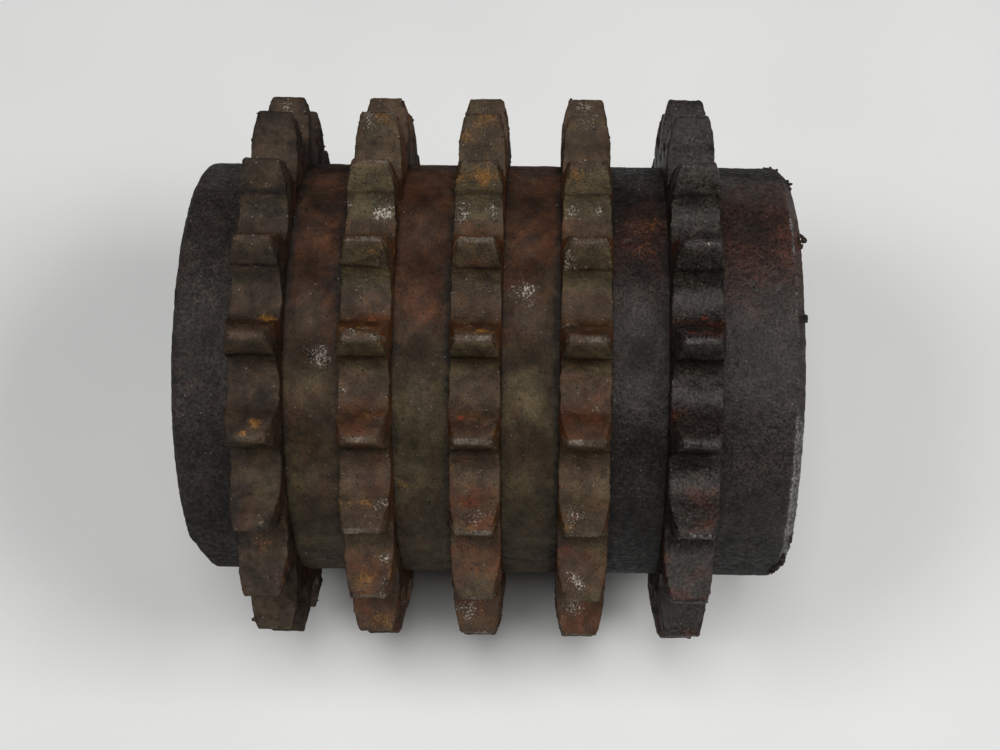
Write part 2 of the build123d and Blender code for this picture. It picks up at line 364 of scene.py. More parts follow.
def ring_grid(station, seed):
    """A toothed row as a grid, with how near each point is to the row's side edges, from 0 to 1."""
    outline = worn_outline(seed)
    tangent = np.roll(outline, -1, 0) - np.roll(outline, 1, 0)
    inward = np.stack([tangent[:, 1], -tangent[:, 0]], 1)
    inward /= np.linalg.norm(inward, axis=1, keepdims=True)
    inward *= np.where(np.sum(inward * outline, axis=1) > 0, -1, 1)[:, None]
    rim_radius = np.hypot(outline[:, 0], outline[:, 1])
    rim_half_width = side_half_width(rim_radius)
    unit = outline / rim_radius[:, None]
    angles = np.degrees(np.arctan2(outline[:, 0], outline[:, 1]))
    side_top = outline + EDGE_RADIUS * inward

    side = [(unit * keyway_bore(angles)[:, None], RING_HALF_WIDTH, 0)]
    for part in range(SIDE_STEPS + 1):
        share = part / SIDE_STEPS
        flat = unit * HIDDEN_RADIUS * (1 - share) + side_top * share
        depth = (1 - share) * np.linalg.norm(side_top - unit * HIDDEN_RADIUS, axis=1)
        side.append((flat, side_half_width(np.hypot(flat[:, 0], flat[:, 1])), np.exp(-depth / 1.2)))
    for turn in np.radians(EDGE_TURNS):
        flat = outline + EDGE_RADIUS * (1 - math.sin(turn)) * inward
        side.append((flat, rim_half_width - EDGE_RADIUS * (1 - math.cos(turn)), 1))
    reach = rim_half_width - EDGE_RADIUS
    rim = []
    for part in range(1, RIM_STEPS):
        share = 2 * part / RIM_STEPS - 1
        rim.append((outline, share * reach, np.exp(-(1 - abs(share)) * reach)))
    columns = [(flat, -lateral, near) for flat, lateral, near in side] + rim + side[::-1]
    grid = np.stack([np.insert(flat, 1, station + lateral, axis=1) for flat, lateral, _ in columns], 1)
    near = np.stack([np.broadcast_to(near, len(outline)) for *_, near in columns], 1)
    if face_outward(grid) is not grid:
        grid, near = grid[:, ::-1], near[:, ::-1]
    return grid, near


# ---- Tones: what the materials paint, one number from 0 to 1 a vertex ----

FAR = 99.0
# Rows and spacers count from 0 at the left. The oily ones are at the right end, and the first row is dull.
DULL_ROW, OILY_ROW, OILY_SPACER = 0, 4, 3
# The dark soot tone is soot and dirt in most places and painted shade in a few; the pale bare tone is worn
# metal, and a painted highlight on the right end's rim.
TONE_NAMES = ("rust", "ochre", "olive", "soot", "crust", "bare", "red", "damp")

# Marks seen on the drum, by tone: the station, angle, radius, size and strength of each
MARKS = {
    "crust": [
        (-3.5, -13, 53, 2.7, 0.66), (3, -14, 53, 2.5, 0.62), (19.5, -14, 53.5, 2.2, 0.65),
        (25, -14, 54, 2.0, 0.6), (22.5, -36, 61, 3.4, 0.5), (-0.5, -55, 61, 2.8, 0.5),
        (-20, -13.5, 53, 2.8, 0.8), (10, 4.5, 47.4, 3.8, 0.68), (-32.6, 22.2, 47.4, 3.7, 0.72),
        (0.5, 55, 60, 3.4, 0.55), (21, 55, 60, 2.9, 0.6), (21.5, 73.5, 59.5, 3.1, 0.66),
        (-1.5, 92, 58, 3.4, 0.65), (21.5, 92, 57.5, 3.1, 0.6), (-19.5, 72, 55.5, 2.0, 0.6),
        (-43.5, 56, 62, 1.3, 0.6), (-27, 29.5, 52, 1.3, 0.7), (-23, 6.5, 52.5, 3.6, 0.42),
        (-24.6, -36.6, 61.4, 2.9, 0.6), (22, -55, 61.5, 3.1, 0.55), (-46, -55, 60.8, 2.9, 0.55),
        (23.4, -36.5, 61, 2.0, 0.6), (1.5, -38.5, 61.5, 2.2, 0.45), (-46, -38, 62, 2.2, 0.35),
    ],
    "ochre": [
        (1, -17, 60.5, 2.6, 1.0), (-3.5, -17, 60, 1.8, 0.8), (20, -17.5, 61, 2.0, 0.8),
        (1, -37, 62, 2.8, 0.8), (-3.5, -35, 58.5, 2.0, 0.7), (-22.5, -37, 62, 2.4, 0.8),
        (-21, 1.5, 61, 2.0, 0.6), (-42.5, 14, 54, 1.7, 1.1), (-22.5, 17, 60.5, 2.2, 0.8),
        (1.5, 17.5, 61.3, 1.4, 1.1), (-44, 35.5, 59.5, 1.8, 0.9), (-46, 37, 62.4, 0.9, 1.1),
        (-22, 34.5, 56.5, 1.8, 0.6), (-23.5, 73.5, 59.5, 3.0, 0.8), (-41, 75, 59.8, 1.0, 1.0),
        (0, 56, 62.7, 1.5, 0.7), (-15.5, 56, 47.4, 2.0, 0.6), (-43.5, -19, 61, 1.3, 0.8),
        (25, 14, 57, 1.2, 0.9), (-20.5, -18, 60, 1.3, 0.8), (36.4, -16, 47.4, 3.2, 0.6),
        (35.3, -8, 47.4, 2.4, 0.6),
    ],
    "red": [
        (-0.5, 53.5, 57, 2.0, 0.62), (21, 55, 60, 1.8, 0.66), (47, 12.5, 52.7, 0.9, 0.75),
        (43.5, 17, 60.5, 1.2, 0.6), (-45.5, 70.5, 53.5, 3.0, 0.42), (-33, 21.5, 47.4, 1.0, 0.8),
        (-2.5, 35, 57, 1.3, 0.8), (-21, 13.5, 54, 2.0, 0.6), (21.5, 74, 60, 1.5, 0.6),
    ],
    "soot": [
        (-61.3, 6.3, 47.4, 0.7, 1.0), (-59.8, 6, 47.4, 0.8, 1.0), (-58.2, 5.4, 47.4, 0.8, 1.0),
        (-56.9, 4.7, 47.4, 0.6, 0.9), (-61.8, 59.5, 47.4, 1.2, 1.0), (-32.6, -21, 47.4, 4.0, 0.8),
        (10.8, -11, 47.4, 3.5, 0.75), (31.9, -49, 47.4, 4.0, 0.8), (-11.5, 2, 47.4, 3.0, 0.7),
        # The last two marks here, on rows 4 and 1 just past a tooth tip, are painted shadow on the
        # down-facing flank.
        (22.5, 20.5, 60.5, 3.0, 0.6), (-45, 21, 60.3, 3.2, 0.65),
    ],
}


def mark_strength(points, kind):
    """How strongly marks of one kind cover each point."""
    total = np.zeros(len(points))
    for index, (station, angle, radius, size, strength) in enumerate(MARKS[kind]):
        centre = on_circle(radius, angle, station)
        distance = np.linalg.norm(points - centre, axis=1)
        near = distance < 3 * size
        if near.any():
            ragged = distance[near] * (1 + 0.55 * noise(points[near], size * 0.55, 40 + index))
            total[near] = np.maximum(total[near], strength * np.exp(-(ragged / size) ** 2))
    return total


def toned(points, **tones):
    """All tones as an array of a column each, with the marks added."""
    table = np.zeros((len(points), len(TONE_NAMES)))
    for column, name in enumerate(TONE_NAMES):
        table[:, column] = tones.get(name, 0.0)
        if name in MARKS:
            table[:, column] = np.maximum(table[:, column], mark_strength(points, name))
    return np.clip(table, 0, 1)


def ring_tones(points, near, row):
    """Tones of a toothed row."""
    radius, angle = polar(points)
    phase = (angle / TOOTH_STEP) % 1.0
    lateral = np.abs(points[:, 1] - ROW_STATIONS[row])
    on_side = ease(-0.8, -0.1, lateral - side_half_width(radius)) * (1 - near)
    cloud = layered(points, 9, 11 + row)
    small = layered(points, 3, 17 + row)
    up_flank = ease(0.62, 0.78, phase) * (1 - ease(0.955, 0.975, phase))
    down_flank = ease(0.03, 0.05, phase) * (1 - ease(0.30, 0.42, phase))
    land = 1 - ease(0.024, 0.036, np.minimum(phase, 1 - phase))
    oily = float(row == OILY_ROW)
    dull = float(row == DULL_ROW)
    rust = 0.24 + 0.4 * cloud + 0.25 * small
    rust = rust + 0.28 * up_flank - 0.2 * down_flank - 0.2 * dull + 0.3 * on_side
    rust = np.where(oily > 0, 0.9 * up_flank * ease(-0.5, 0.4, cloud) + 0.1 * small + 0.12 * on_side, rust)
    middle = 1 - ease(15, 45, angle_from(angle, 5))
    lower = ease(30, 60, angle)
    olive = 0.05 + 0.45 * layered(points, 12, 31 + row) + (0.25 + 0.45 * middle) * down_flank + 0.35 * lower
    olive = olive * (1 - on_side)
    patch = layered(points, 5, 23 + row)
    ochre = ease(0.2, 1.0, patch) * (0.35 + 0.3 * up_flank) * (1 - oily) * (1 - 0.5 * dull)
    streak = np.exp(-((phase - 0.715) / 0.014) ** 2) * ease(-0.3, 0.5, layered(points, 4, 29 + row))
    red = 0.75 * streak * (1 - oily) * (1 - dull)
    soot = 0.04 + (0.35 - 0.15 * dull) * layered(points, 6, 37 + row) + 0.05 * on_side + 0.6 * dull
    # On the oily row the down-facing flanks are darkened as well: painted shade.
    soot = np.where(oily > 0, soot + 0.3 * down_flank, soot)
    # Painted shadow: a dark line along the worn step on the down-facing flank of every tooth, fainter on the
    # teeth turned towards -X.
    painted_step_shadow = np.exp(-((radius - WEAR_STEP_RADIUS) / 0.55) ** 2) * (phase < 0.4)
    painted_step_shadow = painted_step_shadow * (1 - 0.6 * ease(*FAINT_STEP_ANGLES, -angle))
    soot = soot + painted_step_shadow * (0.5 + 0.5 * small)
    bare = (0.46 + 0.3 * small) * land * ease(55, 60, radius) * (1 - 0.4 * dull - 0.3 * oily)
    flecks, own = scatter(points, 2.2, 41 + row)
    crust = 0.75 * (1 - ease(0.08, 0.2, flecks)) * (own > 0.8)
    patches = ease(0.45, 0.95, layered(points, 5, 43 + row)) * (1 - on_side) * (1 - oily) * (1 - 0.4 * dull)
    crust = np.maximum(crust, 0.56 * patches)
    return toned(
        points, rust=rust, olive=olive, ochre=ochre, soot=soot, bare=bare, crust=crust, red=red,
        damp=oily * 0.8,
    )


def short_of_row(points, station):
    """How far each point is short of the left face of the row at a station, or far if it is past it."""
    reach = station - RING_HALF_WIDTH - points[:, 1]
    return np.where(reach > -0.5, reach, FAR)


def barrel_tones(points, place):
    """Tones of the barrel. place is a spacer's number, or "left" or "right" for an end collar."""
    radius, angle = polar(points)
    cloud = layered(points, 14, 51)
    small = layered(points, 4, 57)
    upper = 1 - ease(20, 75, angle_from(angle, -35))
    from_rows = np.min([np.abs(points[:, 1] - station) for station in ROW_STATIONS], axis=0)
    # Darker in the corners beside every row: grime there, and painted contact shade as well.
    corner = 1 - ease(0.2, 2.2, from_rows - RING_HALF_WIDTH + 0.5 * small)
    # Painted shadow: a ragged dark band on the barrel just left of each row, where the row shades it from the
    # lamp on the right.
    to_next_row = np.min([short_of_row(points, station) for station in ROW_STATIONS], axis=0)
    painted_row_shadow = 1 - ease(0.6, 4.2, to_next_row + 1.6 * layered(points, 6, 79))
    rust = 0.12 + 0.62 * upper + 0.35 * cloud + 0.25 * small
    olive = 0.75 - 0.8 * upper + 0.4 * layered(points, 11, 61)
    soot = 0.18 + 0.3 * layered(points, 7, 67) + 0.38 * corner + (0.35 if place == 0 else 0.0) * upper
    soot = soot + 0.32 * painted_row_shadow
    ochre = 0.45 * ease(0.5, 1.1, layered(points, 4, 71))
    flecks, own = scatter(points, 2.6, 73)
    crust = 0.7 * (1 - ease(0.06, 0.17, flecks)) * (own > 0.8)
    bare = 0.0
    damp = 0.0
    if place == "left":
        rust, olive, ochre = 0.25 + 0.2 * small, 0.4 * olive, 0.0
        soot = 0.25 + 0.15 * cloud + 0.55 * ease(25, 75, angle)
    if place in (OILY_SPACER, "right"):
        near_row_4 = 1 - ease(1.5, 7.0, points[:, 1] - ROW_STATIONS[3] - RING_HALF_WIDTH)
        rust = np.maximum(rust * near_row_4, upper + 0.35 * cloud - 0.15)
        olive, ochre = 0.2 * olive, 0.0
        below = ease(25, 75, angle_from(angle, 15))
        # The corners here get grime and painted contact shade too, and the band left of each row is painted
        # shadow.
        soot = 0.1 + 0.4 * cloud + 0.35 * corner + 0.95 * below + 0.3 * painted_row_shadow + 0.2 * upper
        damp = 0.8
    if place == "right":
        from_edge = points[:, 1] - RIGHT_END + RIGHT_CHAMFER
        chamfer = ease(-0.1, 0.1, from_edge) * ease(44.6, 45.0, radius)
        scraped = 1 - ease(25, 42, angle_from(angle, 68))
        # Painted highlight: a thin pale line along the outer edge of the right end, on the side turned
        # towards the camera.
        rim = np.exp(-(from_edge / 0.35) ** 2) * ease(46.6, 47.0, radius)
        rim *= 1 - ease(45, 70, angle_from(angle, 25))
        bare = chamfer * (0.2 + 0.42 * scraped) * (0.8 + 0.3 * small) + 0.6 * rim * (0.7 + 0.6 * small)
        lip = ease(RIGHT_END - 0.1, RIGHT_END + 0.15, points[:, 1])
        soot = soot * (1 - 0.8 * chamfer * scraped) + 0.8 * lip
    return toned(points, rust=rust, olive=olive, ochre=ochre, soot=soot, crust=crust, bare=bare, damp=damp)


def metal_tones(points, seed, rust=0.35, soot=0.3, bare=0.3):
    """Tones of a machined piece at the ends, where oil and dust have settled."""
    cloud = layered(points, 8, seed)
    small = layered(points, 2.5, seed + 5)
    bare = bare + 0.4 * layered(points, 5, seed + 9)
    return toned(points, rust=rust + 0.4 * cloud, soot=soot + 0.35 * small, bare=bare)


# ---- Relief: how far the surface is pushed out, in millimetres ----

def pits(points, spacing, seed, share, depth):
    """Round corrosion pits of mixed sizes."""
    distance, own = scatter(points, spacing, seed)
    size = 0.12 + 0.3 * np.clip((own - 1 + share) / share, 0, 1)
    return -depth * np.where(own > 1 - share, np.clip(1 - (distance / size) ** 2, 0, 1) ** 1.5, 0)


def relief(points, seed, coarse=0.16, medium=0.08, fine=0.05):
    """Uneven, pitted steel."""
    height = coarse * layered(points, 9, seed) + medium * layered(points, 2.8, seed + 3)
    height += fine * layered(points, 1.1, seed + 6, 2)
    return height + pits(points, 3.4, seed + 9, 0.3, 0.22)


def fine_relief(points, seed):
    """The slightly uneven surface of a machined piece."""
    return 0.05 * layered(points, 4, seed) + 0.02 * layered(points, 1.2, seed + 6)


def crust_lift(points, tones, seed):
    """How much crust raises the surface, from 0 to 1."""
    return tones[:, TONE_NAMES.index("crust")] * (0.5 + 0.5 * noise(points, 0.9, seed))


def pushed(grid, distance):
    """The grid's points moved along its own normals, as one list."""
    moved = grid + grid_normals(grid) * distance.reshape(grid.shape[:2])[..., None]
    return moved.reshape(-1, 3)


# ---- Meshes ----

MATERIALS = {}


def add_object(name, data):
    """A new object in the scene."""
    made = bpy.data.objects.new(name, data)
    bpy.context.scene.collection.objects.link(made)
    return made


def make_mesh(name, points, face_sets, tones, material):
    """A mesh object from points in millimetres and arrays of faces."""
    mesh = bpy.data.meshes.new(name)
    mesh.vertices.add(len(points))
    mesh.vertices.foreach_set("co", (points * MM).astype(np.float32).ravel())
    corners = np.concatenate([faces.ravel() for faces in face_sets])
    sizes = np.concatenate([np.full(len(faces), faces.shape[1]) for faces in face_sets])
    mesh.loops.add(len(corners))
    mesh.loops.foreach_set("vertex_index", corners.astype(np.int32))
    mesh.polygons.add(len(sizes))
    starts = np.concatenate([[0], np.cumsum(sizes)[:-1]])
    mesh.polygons.foreach_set("loop_start", starts.astype(np.int32))
    mesh.update(calc_edges=True)
    mesh.validate()
    mesh.shade_smooth()
    for index, layer in enumerate(("tone_a", "tone_b")):
        attribute = mesh.attributes.new(layer, "FLOAT_COLOR", "POINT")
        attribute.data.foreach_set("color", tones[:, 4 * index:4 * index + 4].astype(np.float32).ravel())
    mesh.materials.append(MATERIALS[material])
    return add_object(name, mesh)


def stand_for(made, body, node, slot):
    """The piece rides on the node's body and is shown in its place."""
    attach(made, body)
    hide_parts(node)


def from_line(points, start, direction):
    """How far along a line each point is, and its distance from the line."""
    offset = points - start
    along = offset @ direction
    return along, np.linalg.norm(offset - np.outer(along, direction), axis=1)


def hole_rims(points, faces, centre, direction, radius):
    """The faces that a round hole leaves, and the hole's two rims in them, outermost first."""
    along, distance = from_line(points, centre, direction)
    inside = (distance < radius) & (along > 0)
    gone = inside[faces].any(axis=1)
    removed = faces[gone]
    edges = np.concatenate([removed[:, [a, b]] for a, b in ((0, 1), (1, 2), (2, 3), (3, 0))])
    edges.sort(axis=1)
    unique, counts = np.unique(edges, axis=0, return_counts=True)
    rim = np.unique(unique[counts == 1])
    middle = (along[rim].min() + along[rim].max()) / 2
    return faces[~gone], [rim[along[rim] > middle], rim[along[rim] <= middle]]


def pierce(points, faces, centre, direction, radius, chamfer_size=0.0):
    """Cuts a round hole along direction from centre, right through both skins, and lines it."""
    direction = np.array(direction, float)
    side = np.cross(direction, (0.3, 0.9, 0.2))
    side /= np.linalg.norm(side)
    up = np.cross(direction, side)
    kept, rims = hole_rims(points, faces, centre, direction, radius)
    points = points.copy()
    turns = []
    for index, rim in enumerate(rims):
        offset = points[rim] - centre
        turn = np.arctan2(offset @ up, offset @ side)
        order = np.argsort(turn)
        rims[index] = rim[order]
        turns.append(turn[order])
        ring = np.outer(np.cos(turn), side) + np.outer(np.sin(turn), up)
        points[rim] = centre + np.outer(offset @ direction, direction) + radius * ring
    if chamfer_size:
        along, distance = from_line(points, centre, direction)
        outermost = along > along[rims[0]].min() - chamfer_size
        drop = np.where(outermost, np.clip(radius + chamfer_size - distance, 0, chamfer_size), 0)
        points -= np.outer(drop, direction)
    return points, kept, bridge(rims, turns)


def bridge(rims, turns):
    """Triangles between two rims whose points are in order of angle."""
    last = 10
    steps = sorted((turn, side) for side in (0, 1) for turn in [*turns[side][1:], last + len(turns[side])])
    at = [0, 0]
    triangles = []
    for _, side in steps:
        ends = [rim[place % len(rim)] for rim, place in zip(rims, at)]
        at[side] += 1
        triangles.append((*ends, rims[side][at[side] % len(rims[side])]))
    return np.array(triangles)


def pierced(points, faces, holes):
    """The points and the face arrays of a mesh with holes cut in it."""
    walls = []
    for hole in holes:
        points, faces, wall = pierce(points, faces, *hole)
        walls.append(wall)
    return points, [faces, *walls]


# ---- Materials ----

class Shader:
    """A node material being built. Methods add a node and return the socket that it puts out."""

    def __init__(self, name):
        self.material = bpy.data.materials.new(name)
        self.material.use_nodes = True
        self.tree = self.material.node_tree
        self.tree.nodes.clear()

    def add(self, kind, inputs=None, output=0, **settings):
        node = self.tree.nodes.new(kind)
        for key, value in settings.items():
            setattr(node, key, value)
        for key, value in (inputs or {}).items():
            socket = node.inputs[key]
            if isinstance(value, bpy.types.NodeSocket):
                self.tree.links.new(value, socket)
            else:
                socket.default_value = value
        return node.outputs[output] if len(node.outputs) else None

    def calc(self, operation, first, second=0.0):
        return self.add("ShaderNodeMath", {0: first, 1: second}, operation=operation)

    def plus(self, first, second):
        return self.calc("ADD", first, second)

    def minus(self, first, second):
        return self.calc("SUBTRACT", first, second)

    def times(self, first, second):
        return self.calc("MULTIPLY", first, second)

    def remap(self, value, low, high, to_low=0.0, to_high=1.0):
        inputs = {"Value": value, "From Min": low, "From Max": high, "To Min": to_low, "To Max": to_high}
        return self.add("ShaderNodeMapRange", inputs, interpolation_type="SMOOTHSTEP")

    def blend(self, factor, first, second, mode="MIX"):
        inputs = {"Factor": factor, 6: first, 7: second}
        return self.add("ShaderNodeMix", inputs, 2, data_type="RGBA", blend_type=mode)

    def noise(self, coordinates, size, detail=4.0, roughness=0.6):
        inputs = {"Vector": coordinates, "Scale": 1 / size, "Detail": detail, "Roughness": roughness}
        return self.add("ShaderNodeTexNoise", inputs)

    def loners(self, coordinates, spacing, size, share):
        """1 inside small dots, one in each cell picked by chance, 0 elsewhere."""
        distance = self.add("ShaderNodeTexVoronoi", {"Vector": coordinates, "Scale": 1 / spacing})
        pick = self.add("ShaderNodeSeparateColor", {"Color": distance.node.outputs["Color"]})
        dot = self.remap(distance, size, size * 0.6)
        return self.times(dot, self.calc("GREATER_THAN", pick, share))

    def turning_lines(self, coordinates):
        """Noise that changes only with distance from the drum's axis, like the marks of a lathe tool."""
        across = self.add("ShaderNodeVectorMath", {0: coordinates, 1: (1.0, 0.0, 1.0)}, operation="MULTIPLY")
        radius = self.add("ShaderNodeVectorMath", {0: across}, 1, operation="LENGTH")
        return self.noise(self.add("ShaderNodeCombineXYZ", {"X": radius}), 0.4, 2.0)

    def millimetres(self):
        where = self.add("ShaderNodeTexCoord", output=3)
        return self.add("ShaderNodeVectorMath", {0: where, 3: 1 / MM}, operation="SCALE")

    def tone_sockets(self):
        found = {}
        for index, layer in enumerate(("tone_a", "tone_b")):
            colour = self.add("ShaderNodeAttribute", attribute_name=layer)
            alpha = colour.node.outputs["Alpha"]
            split = self.add("ShaderNodeSeparateColor", {"Color": colour})
            names = TONE_NAMES[4 * index:4 * index + 4]
            found.update(zip(names, [*split.node.outputs, alpha]))
        return found


def rgb(colour):
    """A colour with an alpha of 1."""
    return (*colour, 1.0)


# The colour of each material under all tones, and of each tone that its pieces have
RUSTED = {
    "base": (0.050, 0.029, 0.016), "rust": (0.068, 0.024, 0.009), "olive": (0.061, 0.045, 0.021),
    "ochre": (0.18, 0.085, 0.018), "soot": (0.015, 0.011, 0.009), "crust": (0.38, 0.34, 0.29),
    "bare": (0.13, 0.11, 0.085), "red": (0.18, 0.030, 0.012),
}
OILY = {
    "base": (0.020, 0.0155, 0.0132), "rust": (0.036, 0.013, 0.008), "olive": (0.018, 0.015, 0.0115),
    "ochre": (0.14, 0.05, 0.01), "soot": (0.0075, 0.006, 0.0048), "crust": (0.26, 0.24, 0.22),
    "bare": (0.12, 0.115, 0.115), "red": (0.15, 0.02, 0.010),
}
MACHINED = {
    "base": (0.12, 0.109, 0.095), "rust": (0.085, 0.043, 0.024), "soot": (0.02, 0.018, 0.016),
    "crust": (0.35, 0.32, 0.28), "bare": (0.24, 0.23, 0.215),
}
BLACKENED = {
    "base": (0.028, 0.026, 0.025), "rust": (0.055, 0.024, 0.012), "soot": (0.010, 0.010, 0.010),
    "crust": (0.25, 0.24, 0.22), "bare": (0.14, 0.135, 0.13),
}


def steel(name, colours, roughness, speckle=0.0, metal=0.0, bump=0.12, shine=0.5, mottle=1.0):
    """Old steel painted by the tones, broken up by grain too fine for the mesh. Metal has turning lines."""
    shader = Shader(name)
    plus, minus, times, remap = shader.plus, shader.minus, shader.times, shader.remap
    where = shader.millimetres()
    coarse = shader.noise(where, 1.3, 5.0, 0.65)
    grain = shader.noise(where, 0.45, 4.0, 0.7)
    dust = shader.noise(where, 0.16, 2.0)
    blotch = shader.noise(where, 3.4, 3.0)
    cloud = shader.noise(where, 11.0)
    tones = shader.tone_sockets()
    colour = rgb(colours["base"])
    grit = plus(times(coarse, 0.9), times(grain, 0.9))
    fine_grit = plus(times(grain, 1.6), times(dust, 0.8))
    covers = {}
    for tone, low, high, texture, middle in (
        ("olive", 0.2, 1.0, grit, 0.9), ("rust", 0.2, 1.0, grit, 0.9), ("soot", 0.25, 1.1, grit, 0.9),
        ("ochre", 0.32, 1.1, fine_grit, 1.2), ("red", 0.4, 0.85, fine_grit, 1.2),
        ("bare", 0.3, 0.8, grit, 0.9), ("crust", 0.55, 0.8, fine_grit, 1.2),
    ):
        if tone in colours:
            lifted = plus(tones[tone], minus(texture, middle))
            covers[tone] = times(remap(lifted, low, high), remap(tones[tone], 0.02, 0.12))
            colour = shader.blend(covers[tone], colour, rgb(colours[tone]))
    value = remap(grain, 0.3, 0.7, 0.66, 1.4)
    for texture, low, high, darkest, brightest in (
        (dust, 0.3, 0.7, 0.86, 1.14), (blotch, 0.32, 0.68, 1 - 0.32 * mottle, 1 + 0.36 * mottle),
        (cloud, 0.3, 0.7, 1 - 0.22 * mottle, 1 + 0.22 * mottle),
    ):
        value = times(value, remap(texture, low, high, darkest, brightest))
    if metal:
        lines = shader.turning_lines(where)
        value = times(value, remap(lines, 0.3, 0.7, 0.8, 1.2))
    pit_holes = shader.loners(where, 1.5, 0.19, 0.3)
    value = times(value, minus(1.0, times(pit_holes, 0.75)))
    if speckle:
        specks = shader.noise(where, 0.62, 2.0, 0.5)
        value = times(value, remap(specks, 0.36, 0.62, 1 - speckle, 1 + 0.9 * speckle))
    grey = shader.add("ShaderNodeCombineColor", {0: value, 1: value, 2: value})
    colour = shader.blend(1.0, colour, grey, "MULTIPLY")
    motes = shader.loners(where, 1.6, 0.12, 0.6)
    colour = shader.blend(times(motes, 0.45), colour, rgb(colours["crust"]))

    rough = remap(coarse, 0.3, 0.7, roughness - 0.1, roughness + 0.12)
    rough = minus(minus(rough, times(tones["damp"], 0.22)), times(covers["bare"], 0.18))
    rough = plus(rough, times(covers["soot"], 0.2))
    height = plus(plus(coarse, times(grain, 0.5)), times(dust, 0.22))
    height = plus(height, times(covers["crust"], 0.3))
    metallic = times(covers["bare"], 0.35)
    if metal:
        height = plus(height, times(lines, 0.6))
        metallic = shader.calc("MAXIMUM", metallic, minus(metal, covers["rust"]))
    normal = shader.add("ShaderNodeBump", {"Strength": 1.0, "Distance": bump * 4 * MM, "Height": height})
    facing = shader.add("ShaderNodeLayerWeight", {"Blend": 0.5}, 1)
    surface = shader.add("ShaderNodeBsdfPrincipled", {
        "Base Color": colour, "Roughness": rough, "Metallic": metallic, "Normal": normal, "IOR": 1.45,
        "Specular IOR Level": remap(facing, 0.2, 0.85, shine, 0.04),
    })
    shader.add("ShaderNodeOutputMaterial", {"Surface": surface})
    MATERIALS[name] = shader.material


def bench_material():
    """Plain pale board with a very faint cloudiness."""
    shader = Shader("bench")
    where = shader.millimetres()
    cloud = shader.noise(where, 120.0, 2.0)
    shade = shader.remap(cloud, 0.3, 0.7)
    colour = shader.blend(shade, rgb((0.76, 0.775, 0.78)), rgb((0.80, 0.81, 0.815)))
    surface = shader.add("ShaderNodeBsdfPrincipled", {"Base Color": colour, "Roughness": 0.6})
    shader.add("ShaderNodeOutputMaterial", {"Surface": surface})
    MATERIALS["bench"] = shader.material


steel("rusted_steel", RUSTED, 0.64, bump=0.09, shine=0.42)
steel("oily_steel", OILY, 0.52, 0.6, bump=0.07, shine=0.36)
steel("machined_steel", MACHINED, 0.42, metal=0.7, bump=0.03, mottle=0.4)
steel("blackened_steel", BLACKENED, 0.5, metal=0.25, bump=0.05, mottle=0.6)
bench_material()


# ---- Pieces: the five rows ----

# Material and slot of the pieces that oil has run over, and of the others
OILED = ("oily_steel", "oiled_steel")
UNOILED = ("rusted_steel", "rusted_steel")


def build_row(row):
    """One toothed row, chipped at its edges and burred at its tips."""
    chip_depth, burr_height, crust_height, crumb_count = 0.55, 0.22, 0.22, 150
    grid, near = ring_grid(ROW_STATIONS[row], 100 + row)
    points = grid.reshape(-1, 3)
    near = near.reshape(-1)
    radius, angle = polar(points)
    seed = 110 + 20 * row
    height = relief(points, seed, 0.11, 0.08, 0.05)
    tip = ease(54, 61, radius)
    chips = ease(0.35, 1.0, layered(points, 3.0, seed + 11))
    height -= chip_depth * chips * near * (0.25 + 0.75 * tip)
    phase = (angle / TOOTH_STEP) % 1.0
    above_step = radius - WEAR_STEP_RADIUS + 0.35 * layered(points, 4, seed + 16)
    worn = (1 - ease(-0.45, 0.25, above_step)) * (1 - ease(0.3, 0.42, phase)) * ease(0.05, 0.1, phase)
    height -= WEAR_STEP_DEPTH * (1 - 0.5 * ease(*FAINT_STEP_ANGLES, -angle)) * worn
    burrs = ease(0.2, 0.9, layered(points, 0.9, seed + 14, 2))
    height += burr_height * burrs * near
    tones = ring_tones(points, near, row)
    height += crust_height * crust_lift(points, tones, seed + 17)
    height *= ease(BARREL_RADIUS - 0.5, BARREL_RADIUS + 0.6, radius)
    weathered = pushed(grid, height)
    edge = np.flatnonzero((near > 0.99) & (radius > 54))
    chosen = np.random.default_rng(seed).choice(edge, crumb_count, replace=False)
    edge_crumbs.append(weathered[chosen])
    material, slot = OILED if row == OILY_ROW else UNOILED
    made = make_mesh(f"weathered_row_{row + 1}", weathered, [grid_faces(grid)], tones, material)
    stand_for(made, "drum", ROW_NODES[row], slot)


# ---- Pieces: the barrel ----

def build_turned(name, profile, place, seed, node, slot, material, shape=None, holes=()):
    """A turned piece of the barrel. shape, if given, changes its points after weathering."""
    grid = face_outward(turned_grid(eased_corners(resampled(profile)), EVEN_ANGLES))
    points = grid.reshape(-1, 3)
    shown = ease(RING_BORE + 2.0, RING_BORE + 6.0, polar(points)[0])
    tones = barrel_tones(points, place)
    height = (relief(points, seed, 0.1, 0.06, 0.045) + 0.25 * crust_lift(points, tones, seed + 17)) * shown
    points = pushed(grid, height)
    if shape is not None:
        points = shape(points)
    points, face_sets = pierced(points, grid_faces(grid), holes)
    stand_for(make_mesh(name, points, face_sets, tones, material), "drum", node, slot)


def set_screw_holes(inner, chamfer_size):
    """What pierce needs for both set-screw holes."""
    for angle in SET_SCREW_ANGLES:
        direction = on_circle(1.0, angle, 0.0)
        yield on_circle(inner, angle, SET_SCREW_STATION), direction, SET_SCREW_HOLE_RADIUS, chamfer_size


